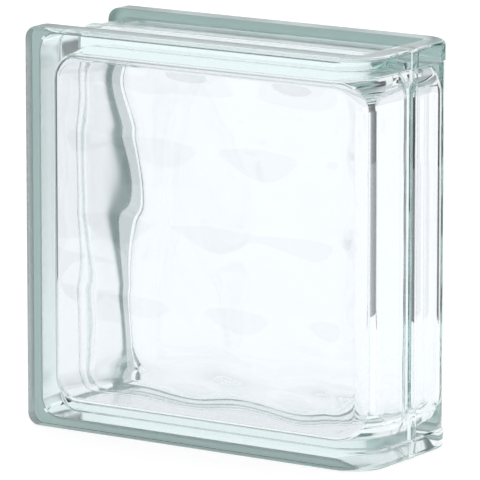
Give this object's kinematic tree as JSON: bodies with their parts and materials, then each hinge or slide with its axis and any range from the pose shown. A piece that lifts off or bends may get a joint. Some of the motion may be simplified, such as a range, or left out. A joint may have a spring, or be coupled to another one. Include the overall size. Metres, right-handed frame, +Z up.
{
  "type": "glass block",
  "caption": "Square hollow glass block with wavy inner faces, a mortar channel on three sides and one finished end, made of pressed halves fused at a seam.",
  "frame": {"origin": "centre of the underside, at the middle of the block's width and on the seam plane between the halves", "axes": "+Z up, +X towards the finished end, -Y out of the front face, Y is the thickness"},
  "size_m": [0.19, 0.08, 0.19],
  "materials": {
    "glass": "clear pressed soda-lime glass, fire-polished outside, waves inside, satin on the mortar sides of the lips"
  },
  "bodies": {
    "root": {"front_half": "glass", "back_half": "glass"}
  },
  "joints": []
}
